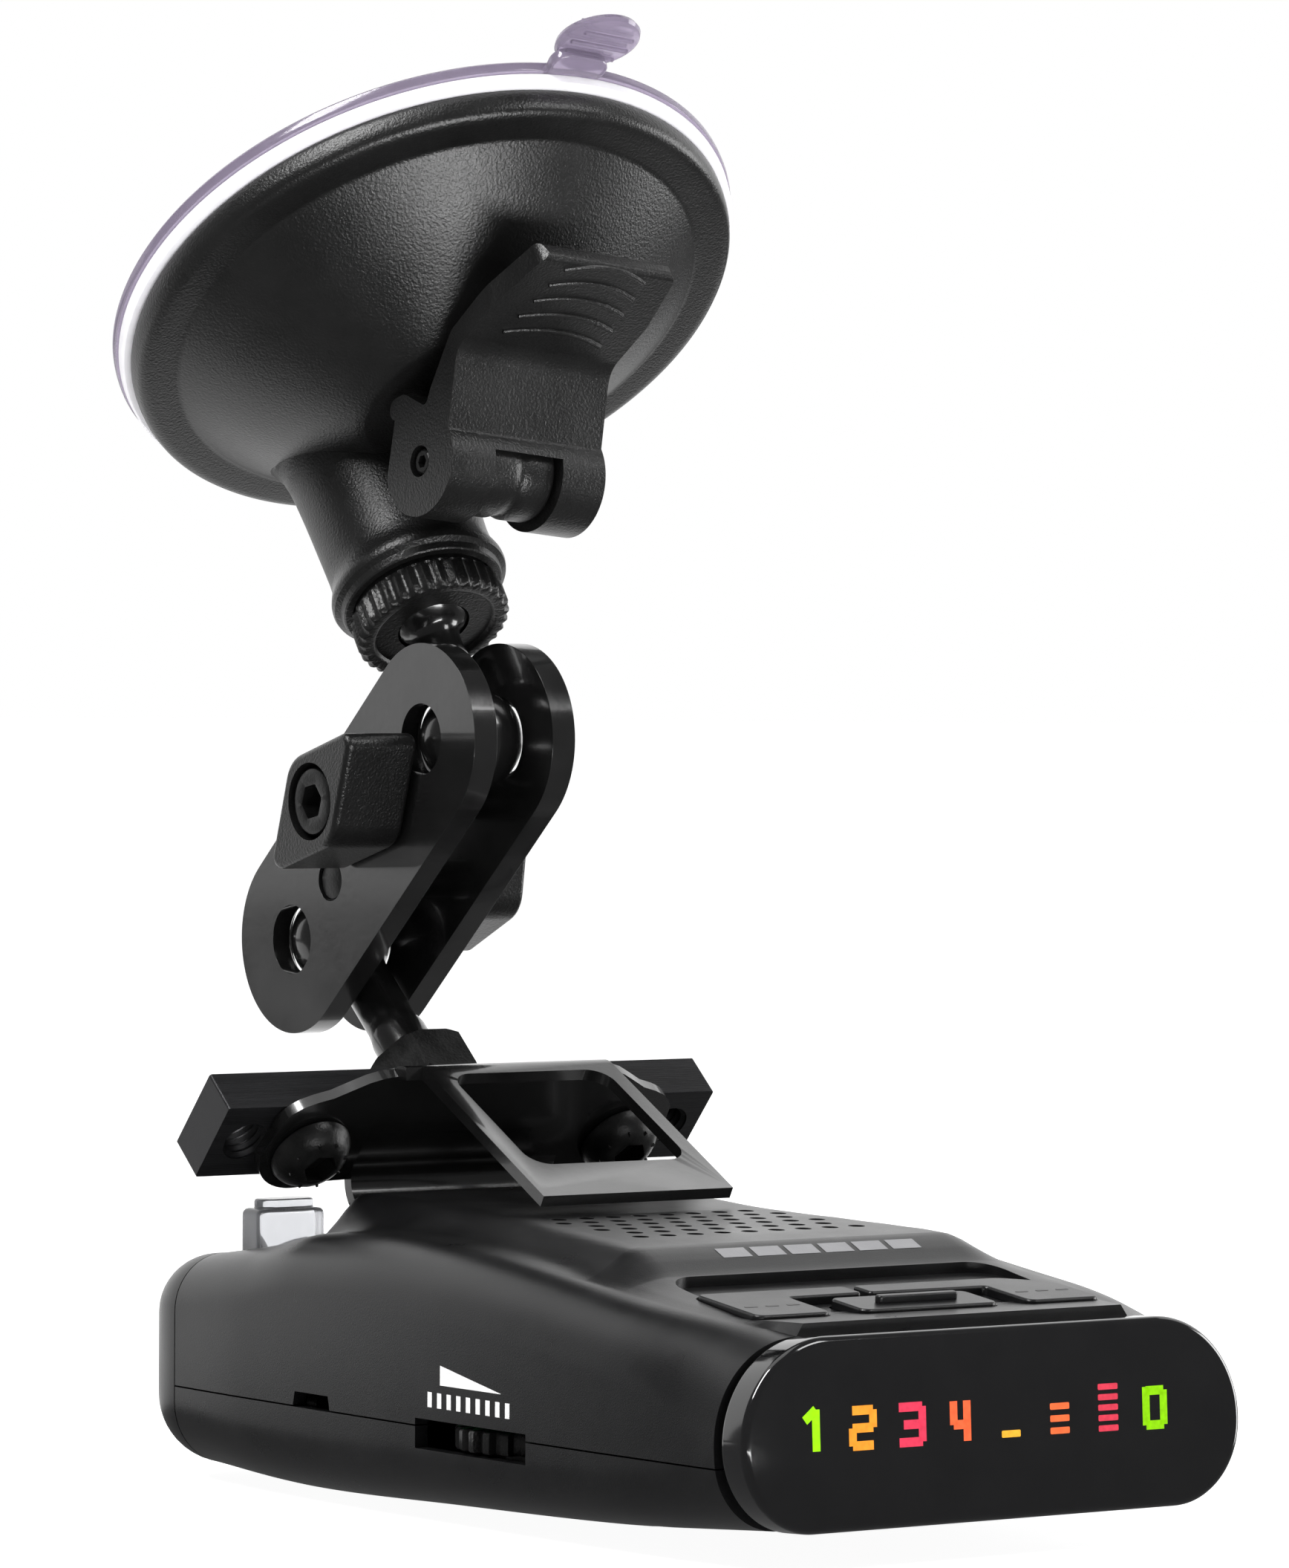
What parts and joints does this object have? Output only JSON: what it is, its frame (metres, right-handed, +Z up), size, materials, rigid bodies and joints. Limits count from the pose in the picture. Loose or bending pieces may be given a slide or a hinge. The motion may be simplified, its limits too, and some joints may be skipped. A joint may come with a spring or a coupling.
{
  "type": "radar detector",
  "caption": "Windshield radar detector: flat case with a colour display and push buttons, carried by a bracket, bar and ball arm from a suction cup with a cam lever.",
  "frame": {"origin": "centre of the suction pad's face that lies on the glass", "axes": "+X to the right as the display is looked at, +Y away from the driver towards the road, +Z up; the display faces -Y"},
  "size_m": [0.0825, 0.1593, 0.1826],
  "materials": {
    "satin_case_plastic": "satin black moulded plastic",
    "gloss_display_plastic": "smoked gloss plastic",
    "textured_mount_plastic": "fine-textured black plastic",
    "black_painted_metal": "semi-gloss black paint",
    "black_anodised_bar": "black anodised",
    "black_oxide_steel": "black oxide",
    "steel": "zinc plated",
    "clear_violet_vinyl": "clear soft vinyl with a violet cast",
    "clear_lens": "clear moulded acrylic",
    "circuit_board": "green solder mask",
    "cast_zinc": "as-cast light alloy",
    "speaker_cone": "black paper"
  },
  "bodies": {
    "cup": {"suction_pad": "clear_violet_vinyl", "cup_housing": "textured_mount_plastic"},
    "stem": {"draw_stem": "steel"},
    "lever": {"cam_lever": "textured_mount_plastic", "lever_pin": "steel"},
    "collar": {"locking_collar": "textured_mount_plastic"},
    "upper_seat": {"ball_seat": "textured_mount_plastic"},
    "upper_stud": {"double_ball_stud": "black_painted_metal"},
    "arm": {"arm_plate_left": "black_painted_metal", "arm_plate_right": "black_painted_metal", "clamp_block_left": "black_painted_metal", "clamp_block_right": "black_painted_metal", "clamp_screw_left": "steel", "clamp_screw_right": "steel"},
    "lower_stud": {"lower_ball_stud": "black_painted_metal"},
    "button_left": {"button_left": "satin_case_plastic"},
    "button_middle": {"button_middle": "satin_case_plastic"},
    "button_right": {"button_right": "satin_case_plastic"},
    "volume_wheel": {"volume_wheel": "textured_mount_plastic"},
    "detector": {"stud_nut": "black_oxide_steel", "mount_bar": "black_anodised_bar", "bracket": "black_painted_metal", "bar_screw_left": "black_oxide_steel", "bar_screw_right": "black_oxide_steel", "bracket_slot_guide": "textured_mount_plastic", "upper_case": "satin_case_plastic", "lower_case": "satin_case_plastic", "rear_cap": "satin_case_plastic", "display_lens": "gloss_display_plastic", "display_shroud": "textured_mount_plastic", "display_board": "circuit_board", "tact_switch_left": "textured_mount_plastic", "tact_switch_middle": "textured_mount_plastic", "tact_switch_right": "textured_mount_plastic", "button_board": "circuit_board", "volume_potentiometer": "steel", "main_board": "circuit_board", "shield_can": "steel", "horn_antenna": "cast_zinc", "speaker_basket": "steel", "speaker_cone": "speaker_cone", "power_jack": "textured_mount_plastic", "laser_lens": "clear_lens", "laser_sensor_board": "circuit_board", "laser_photodiode": "black_oxide_steel", "case_screw_1": "black_oxide_steel", "case_screw_2": "black_oxide_steel", "case_screw_3": "black_oxide_steel", "case_screw_4": "black_oxide_steel"}
  },
  "joints": [
    {"name": "stem_draw", "type": "slide", "parent": "cup", "child": "stem", "axis": [0.0551, 0.6112, 0.7896], "range_m": [0, 0.0023]},
    {"name": "lever_cam", "type": "hinge", "parent": "stem", "child": "lever", "pos_m": [-0.00178, -0.0198, -0.02558], "axis": [0.9946, 0.0365, -0.0976], "range_deg": [0, 80]},
    {"name": "collar_turn", "type": "hinge", "parent": "cup", "child": "collar", "pos_m": [-0.00381, -0.00618, -0.04118], "axis": [0.0551, 0.6112, 0.7896], "range_deg": [-90, 0]},
    {"name": "upper_swivel", "type": "hinge", "parent": "cup", "child": "upper_seat", "pos_m": [-0.00381, -0.00618, -0.04118], "axis": [0.0551, 0.6112, 0.7896], "range_deg": [-40, 40]},
    {"name": "upper_tilt", "type": "hinge", "parent": "upper_seat", "child": "upper_stud", "pos_m": [-0.00381, -0.00618, -0.04118], "axis": [1, 0, 0], "range_deg": [-10, 8]},
    {"name": "arm_tilt", "type": "hinge", "parent": "upper_stud", "child": "arm", "pos_m": [-0.00406, -0.01775, -0.05923], "axis": [1, 0, 0], "range_deg": [-35, 18]},
    {"name": "lower_tilt", "type": "hinge", "parent": "arm", "child": "lower_stud", "pos_m": [-0.00406, 0.01211, -0.0854], "axis": [1, 0, 0], "range_deg": [-16, 35]},
    {"name": "detector_spin", "type": "hinge", "parent": "lower_stud", "child": "detector", "pos_m": [-0.00406, 0.01211, -0.0854], "axis": [0, 0.749, 0.6626], "range_deg": [-90, 90]},
    {"name": "left_button_press", "type": "slide", "parent": "detector", "child": "button_left", "axis": [0, 0.127, -0.9919], "range_m": [0, 0.0006], "stiffness_N_per_m": 600},
    {"name": "middle_button_press", "type": "slide", "parent": "detector", "child": "button_middle", "axis": [0, 0.127, -0.9919], "range_m": [0, 0.0006], "stiffness_N_per_m": 600},
    {"name": "right_button_press", "type": "slide", "parent": "detector", "child": "button_right", "axis": [0, 0.127, -0.9919], "range_m": [0, 0.0006], "stiffness_N_per_m": 600},
    {"name": "volume_turn", "type": "hinge", "parent": "detector", "child": "volume_wheel", "pos_m": [-0.03026, -0.07355, -0.14093], "axis": [0, 0, 1], "range_deg": [-135, 135]}
  ],
  "couplings": [
    {"joint": "stem_draw", "follows": "lever_cam", "m_per_rad": 0.001647}
  ]
}
